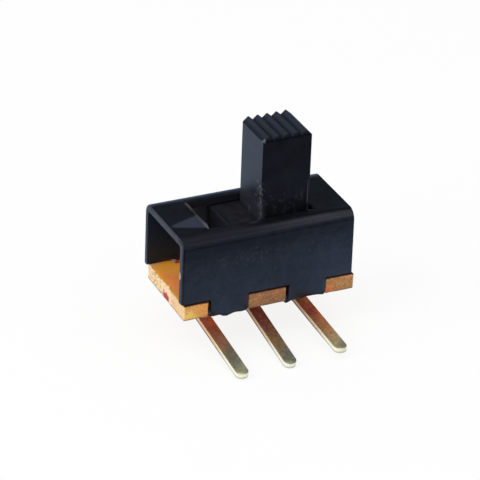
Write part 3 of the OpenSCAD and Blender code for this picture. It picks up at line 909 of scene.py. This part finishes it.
# the slider is the block under the cover and the ridged knob
slider = dict(
    gap=0.06, roof=0.48, grooveWidth=0.7, grooveRise=0.2, pocketLength=3.4, pocketWidth=1.6,
    edge=0.035, edgeSteps=3,
    knobWidth=2.5, knobDepth=2.35, knobCorner=0.06, knobCrease=34,
    ridges=5, ridgePitch=0.48, ridgeSlope=41, crest=0.05,
    endBevel=0.15, endRound=0.04, endBand=0.33,
    # chips by the knob's front left edge: y, z and their reach along both
    chips=[(1.2, 6.68, 0.16, 0.26), (1.27, 5.78, 0.12, 0.16), (1.1, 5.22, 0.13, 0.36), (2.28, 5.2, 0.14, 0.2),
           (1.14, 6.2, 0.08, 0.4), (1.12, 9.24, 0.12, 0.1)],
    chipDepth=0.25, chipSpread=(1.3, 1.2),
    # the grime and painted shade in the valleys widen in front of grimeShadeFrom
    grimeShadeFrom=1.2, grimeShadeSlope=0.9, grimeShadeTop=(9.25, 9.38),
    tones=dict(
        skin=(15, 15, 19), skinPale=(20, 21, 27), dust=(42, 39, 42), leftWall=(28, 28, 32),
        grimeAndShade=(7, 7, 9), crest=(36, 40, 50), scuff=(66, 70, 80), flecks=(62, 58, 58), nick=(100, 100, 102),
        side=(50, 50, 58), line=(92, 96, 104), rubbed=(84, 88, 98), sheen=(214, 222, 255),
    ),
    zones=dict(
        block=[("z", 5.05, 4.9), ("z", 4.7, 4.9)], dusty=[("x", -1.5, -0.9)], leftWall=[("x", -1.37, -1.39)],
        ridges=[("z", 9.12, 9.22)], foot=[("z", 6.8, 5.6), ("z", 4.9, 5.2)],
        side=[("x", 0.3, 0.1), ("z", 6.4, 5.9)],
    ),
    patches=dict(
        flecks=((1.0, 1.02, 6.0), (1.3, 0.5, 0.75), 0.0, 0.3),
        line=((2.38, 1.02, 6.2), (0.05, 0.3, 0.9), 0.1, 0.5),
        pocks=((0.0, 1.35, 6.35), (0.25, 0.55, 1.15), 0.0, 0.4),
    ),
)


def blackMoulding():
    finish = Finish("blackMoulding", slider)
    here, zone, patch, tones = finish.here, finish.zone, finish.patch, finish.tones
    x, y, z = finish.axes.values()
    cloud = finish.noise(here, 1.4, detail=4)
    grain = finish.noise(here, 24, detail=3)
    soil = finish.noise(here, 2.6, detail=5, rough=0.65)
    streak = finish.noise(finish.stretch(here, (3.6, 3.6, 1.0)), 1.0, detail=5, rough=0.65)
    broken = finish.noise(here, 6.5, detail=3)
    wear = finish.noise(here, 2.4, detail=4)
    # dust on the block and on the ridges' crests, grime and painted shade in the valleys
    dust = zone("block")
    skin = finish.blend(cloud.step(0.3, 0.7), tones["skin"], tones["skinPale"])
    skin = finish.layers(skin, [
        (dust * soil.step(0.35, 0.7) * zone("dusty"), "dust"),
        # painted light lifts the block's shaded left wall
        (zone("leftWall"), "leftWall"),
    ])
    # the grime and painted shade in the valleys widen towards the ridges' front ends
    crest = z - slider["grimeShadeSlope"] * (slider["grimeShadeFrom"] - y).most(0)
    crest = finish.blend(crest.step(*slider["grimeShadeTop"]), tones["grimeAndShade"], tones["crest"])
    skin = finish.blend(zone("ridges"), skin, crest)
    # scuffs around the knob's foot and chips along its front left edge
    foot = zone("foot")
    scuff = streak.step(0.54, 0.68) * foot
    ragged = finish.wander(here, 9, 0.2)
    wideY, wideZ = slider["chipSpread"]
    nick = 0.0
    for chipY, chipZ, reachY, reachZ in slider["chips"]:
        reach = (slider["chipDepth"], wideY * reachY, wideZ * reachZ)
        nick = finish.spot(ragged, (0.0, chipY, chipZ), reach).step(0.0, 0.35) + nick
    skin = finish.layers(skin, [
        (scuff * 0.45, "scuff"),
        (patch("flecks") * broken.step(0.56, 0.66) * 0.35, "flecks"),
        (nick.least(1) * (0.1 + 0.9 * broken.step(0.45, 0.56)) * 0.7, "nick"),
        (patch("pocks") * broken.step(0.55, 0.64) * 0.5, "nick"),
        # a lighter streaky tone on the foot of the knob's left face: scuffing and painted light
        (foot * zone("side") * (0.3 + 0.5 * streak), "side"),
        (patch("line") * (0.4 + 0.6 * cloud.step(0.4, 0.6)) * 0.7, "line"),
        (finish.mark("worn") * wear.step(0.45, 0.65) * foot * 0.35, "rubbed"),
    ])
    rough = 0.34 + 0.12 * cloud + 0.2 * scuff + 0.3 * dust
    return finish.surface(colour=skin, roughness=rough, specular=0.28, tint=tones["sheen"],
                          normal=finish.bump(grain * 0.6 + streak * 0.4 + cloud, depth=0.008, strength=0.5))


def underCover():
    # the height of the block's top
    return boxOf("housing")[1].z - cover["sheet"] - slider["gap"]


def makeBlock(finish):
    low, high = boxOf("slider")
    top, roof = underCover(), slider["roof"]
    grooveTop = boxOf("terminal_middle")[1].z + slider["grooveRise"]
    middleX, middleY = (low.x + high.x) / 2, (low.y + high.y) / 2
    halfX, halfY, groove = slider["pocketLength"] / 2, slider["pocketWidth"] / 2, slider["grooveWidth"] / 2
    bm = bmesh.new()
    [worn] = faceLayers(bm, "worn")
    plate(bm, low, high, top)
    cut(bm, 0, [middleX - halfX, middleX + halfX])
    cut(bm, 1, [middleY + side * width for side in (-1, 1) for width in (groove, halfY)])
    under = push(bm, bm.faces[:], (0, 0, -roof))

    def inPocket(c):
        return abs(c.x - middleX) < halfX and abs(c.y - middleY) < halfY

    under = [f for f in under if f.is_valid and not inPocket(middle(f))]
    under = push(bm, under, (0, 0, grooveTop - top + roof))
    under = [f for f in under if f.is_valid and abs(middle(f).y - middleY) > groove]
    push(bm, under, (0, 0, low.z - grooveTop))
    bmesh.ops.recalc_face_normals(bm, faces=bm.faces[:])
    mark(bevel(bm, corners(bm), slider["edge"], slider["edgeSteps"]), worn)
    finishPiece(bm, "sliderBlock", "slider_body", "slider", finish)


def makeKnob(finish):
    low, high = boxOf("slider")
    middleX, middleY = (low.x + high.x) / 2, (low.y + high.y) / 2
    halfX, halfY = slider["knobWidth"] / 2, slider["knobDepth"] / 2
    pitch, crest, steps = slider["ridgePitch"], slider["crest"], slider["edgeSteps"]
    slope = math.radians(slider["ridgeSlope"])
    # a ridge's flanks meet at this height before its crest is rounded
    peak = high.z - crest + crest / math.cos(slope)
    crests = [middleX + pitch * (i - (slider["ridges"] - 1) / 2) for i in range(slider["ridges"])]
    valleys = [place + pitch / 2 for place in crests[:-1]]

    def topAt(x):
        return peak - min(abs(x - place) for place in crests) * math.tan(slope)

    bm = bmesh.new()
    [worn] = faceLayers(bm, "worn")
    foot, shoulder = underCover() - slider["roof"] / 2, topAt(middleX + halfX)
    plate(bm, Vector((middleX - halfX, middleY - halfY)), Vector((middleX + halfX, middleY + halfY)), foot)
    push(bm, bm.faces[:], (0, 0, shoulder - foot))
    bmesh.ops.recalc_face_normals(bm, faces=bm.faces[:])
    uprights = [e for e in bm.edges if abs(e.verts[0].co.z - e.verts[1].co.z) > halfY]
    mark(bevel(bm, uprights, slider["knobCorner"], steps), worn)
    cut(bm, 0, sorted(crests + valleys), lambda c: c.z > shoulder - closeBy)
    for v in bm.verts:
        if v.co.z > shoulder - closeBy:
            v.co.z = topAt(v.co.x)
    bm.normal_update()
    ridges = [e for e in corners(bm, 60) if min(abs(v.co.z - peak) for v in e.verts) < closeBy
              and abs(e.verts[0].co.x - e.verts[1].co.x) < closeBy]
    mark(bevel(bm, ridges, crest * math.tan(slope), steps), worn, 0.7)

    # the ridges' front ends slope back at 45 degrees
    front, slant = Vector((0, middleY - halfY, high.z - slider["endBevel"])), Vector((0, -1, 1))
    everything = bm.verts[:] + bm.edges[:] + bm.faces[:]
    bmesh.ops.bisect_plane(bm, geom=everything, dist=cutSnap, plane_co=front, plane_no=slant,
                           clear_outer=True)
    openEdges = [e for e in bm.edges if len(e.link_faces) == 1 and e.verts[0].co.z > foot + halfY]
    bmesh.ops.holes_fill(bm, edges=openEdges)
    bm.normal_update()

    def onSlant(c):
        return abs((c - front).dot(slant)) < closeBy and c.z > high.z - slider["endBand"]

    bevel(bm, corners(bm, 25, onSlant), slider["endRound"], steps)
    finishPiece(bm, "ridgedKnob", "slider_body", "slider", finish, slider["knobCrease"])


mouldingFinish = blackMoulding()
makeBlock(mouldingFinish)
makeKnob(mouldingFinish)

# the contact clip is a bent spring strip with four leaves
clip = dict(
    thick=0.12, width=1.2, leafWidth=0.6, leafMiddle=1.27, leafGap=0.03,
    foot=0.45, waist=0.87, shoulder=0.45, flare=0.18, back=0.18,
    bend=0.05, bendSteps=3, edge=0.02, edgeAngle=55,
    tones=dict(bronze=(196, 140, 84), bronzePale=(214, 164, 104), drawn=(150, 100, 58)),
)


def springBronze():
    finish = Finish("springBronze", clip)
    cloud = finish.noise(finish.here, 2.5, detail=4)
    drawn = finish.noise(finish.stretch(finish.here, (1.5, 14, 14)), 1.0, detail=4)
    colour = finish.blend(cloud.step(0.3, 0.7), finish.tones["bronze"], finish.tones["bronzePale"])
    colour = finish.layers(colour, [(drawn.step(0.55, 0.75) * 0.4, "drawn")])
    rough = 0.26 + 0.16 * drawn + 0.08 * finish.mark("worn")
    return finish.surface(colour=colour, roughness=rough, metallic=1.0,
                          normal=finish.bump(drawn, depth=0.003, strength=0.5))


def makeClip():
    low, high = boxOf("contact_clip")
    middleX, middleY = (low.x + high.x) / 2, (low.y + high.y) / 2
    bladeFoot = boxOf("terminal_middle")[1].z - terminal["bladeHeight"]
    waist = terminal["thick"] / 2 + clip["leafGap"]
    thick = clip["thick"]
    edge = clip["width"] / 2 - thick
    leaves = (middleX, clip["leafMiddle"], clip["leafWidth"] / 2)
    backFoot = high.z - clip["back"]
    bm = bmesh.new()
    [worn] = faceLayers(bm, "worn")
    # the strip's inner side, from the front leaf's foot over the back to the other leaf's
    side = [(waist + clip["flare"], bladeFoot + clip["foot"]), (waist, bladeFoot + clip["waist"]),
            (edge, high.z - clip["shoulder"]), (edge, high.z - thick)]
    outline = [(middleY - y, z) for y, z in side] + [(middleY + y, z) for y, z in reversed(side)]
    foldStrip(bm, outline, low.x, high.x, clip["bend"], clip["bendSteps"])
    cut(bm, 0, pairEdges(*leaves))
    cut(bm, 2, [backFoot])
    drop(bm, lambda c: c.z < backFoot and not inPair(c.x, *leaves))
    bmesh.ops.recalc_face_normals(bm, faces=bm.faces[:])
    bmesh.ops.solidify(bm, geom=bm.faces[:], thickness=-thick)
    mark(bevel(bm, corners(bm, clip["edgeAngle"]), clip["edge"], 1), worn)
    finishPiece(bm, "contactSpring", "slider_body", "contact_clip", springBronze())


makeClip()

# the stage: a pale floor, a white world and three soft lamps
studio = dict(
    floorDepth=0.02, floorSize=900, floorShown=0.86, worldLight=0.5,
    mirrorTint=(0.67, 0.83, 1.05), mirrorLow=0.03,
    # name, azimuth, elevation, distance, size and level
    lamps=[("keyLamp", -80, 37, 300, 260, 2.5), ("fillLamp", 45, 44, 300, 260, 0.42),
           ("topLamp", 0, 88, 300, 240, 1.2)],
    lampTarget=(0, 2, 3),
    # the floor in reflections: its light far out, what is added near the part, and its share
    # at the left, with what is added to the right
    floorFar=0.02, floorNear=1.18, floorLeft=0.85, floorRight=0.3,
    # darker places in reflections: the zone and how much of the light goes
    shades=[("rightBack", 0.8), ("underPart", 0.75), ("leftFront", 0.8)],
    # one darker stripe across x: its middle, its outer and inner edges and its depth
    stripe=(3.6, 2.4, 0.4, 0.3),
    tones=dict(paper=(244, 244, 244), paperPale=(248, 248, 248)),
    zones=dict(
        near=[("y", -8.5, -6.8)], towardsRight=[("x", -2, 6)], rightBack=[("x", 9, 13), ("y", 1, 4)],
        underPart=[("y", -1.2, 0), ("y", 5.4, 4.4), ("x", -5, -4.2), ("x", 5.5, 4.6)],
        leftFront=[("x", -3.5, -6), ("y", 2, -1)],
    ),
)


def mirrorRays(nodes):
    # the camera's own rays, and those that reach a surface by way of a reflection
    camera = nodes.node("LightPath", out="Is Camera Ray")
    return camera, camera.other("Is Glossy Ray").most(camera.other("Is Transmission Ray"))


def paleFloor():
    finish = Finish("paleFloor", studio)
    zone, tones = finish.zone, finish.tones
    paper = finish.noise(finish.here, 0.3, detail=3)
    colour = finish.blend(paper, tones["paper"], tones["paperPale"])
    finish.surface(colour=colour, roughness=0.9, specular=0.1)
    camera, mirrored = mirrorRays(finish)
    # in reflections the floor is a painted glow: bright in front of the part and faint far out, with painted
    # shade under the part, in the listed zones and along one stripe
    level = studio["floorFar"] + studio["floorNear"] * zone("near")
    level = level * (studio["floorLeft"] + studio["floorRight"] * zone("towardsRight"))
    stripe, outer, inner, depth = studio["stripe"]
    level = level * (1 - depth * (finish.axes["x"] - stripe).size().step(outer, inner))
    for name, depth in studio["shades"]:
        level = level * (1 - depth * zone(name))
    seen = finish.blend(mirrored, (1, 1, 1, 1), finish.scaled(studio["mirrorTint"], level))
    glow = finish.node("Emission", sockets={"Color": seen})
    lit = Wire(finish, finish.shader.outputs[0])
    shown = mirrored.most(camera * studio["floorShown"])
    mixed = finish.node("MixShader", sockets={0: shown, 1: lit, 2: glow})
    # seen from below, the floor lets the view through
    clear = finish.node("BsdfTransparent")
    behind = finish.node("NewGeometry", out="Backfacing")
    both = finish.node("MixShader", sockets={0: behind, 1: mixed, 2: clear})
    finish.tree.links.new(both.socket, finish.tree.nodes["Material Output"].inputs["Surface"])
    return finish.material


def makeFloor():
    half = studio["floorSize"] / 2
    bm = bmesh.new()
    plate(bm, Vector((-half, -half)), Vector((half, half)), cadBox[0][2] / mm - studio["floorDepth"])
    meshObject(bm, "floor", paleFloor())


def makeWorld():
    world = bpy.data.worlds.new("world")
    bpy.context.scene.world = world
    world.use_nodes = True
    sky = Nodes(world.node_tree)
    x, y, z = sky.parts(sky.node("TexCoord", out="Generated"))
    camera, mirrored = mirrorRays(sky)
    # reflections find a bright backdrop low at the back, reaching higher at the left
    height = z - 0.37 * x.step(0.1, -0.4)
    backdrop = height.step(0.3, 0.05) * y.step(-0.1, 0.3)
    level = studio["mirrorLow"] + (1 - studio["mirrorLow"]) * backdrop
    reflected = sky.scaled(studio["mirrorTint"], level)
    around = [studio["worldLight"]] * 3 + [1.0]
    light = sky.blend(mirrored, sky.blend(camera, around, (1, 1, 1, 1)), reflected)
    sky.plug(sky.tree.nodes["Background"].inputs["Color"], light)


def makeLamp(name, azimuth, elevation, away, size, level):
    lamp = bpy.data.lights.new(name, "AREA")
    lamp.shape = "SQUARE"
    lamp.size = size * mm
    lamp.energy = level * math.pi * (size * mm) ** 2
    holder = bpy.data.objects.new(name, lamp)
    bpy.context.scene.collection.objects.link(holder)
    holder.visible_camera = False
    a, e = math.radians(azimuth), math.radians(elevation)
    back = Vector((math.sin(a) * math.cos(e), -math.cos(a) * math.cos(e), math.sin(e)))
    holder.matrix_world = (Matrix.Translation(Vector(studio["lampTarget"]) * mm + back * away * mm)
                           @ back.to_track_quat("Z", "Y").to_matrix().to_4x4())


makeFloor()
makeWorld()
for settings in studio["lamps"]:
    makeLamp(*settings)
bpy.context.scene.view_settings.view_transform = "Standard"
print("stage and lamps set")
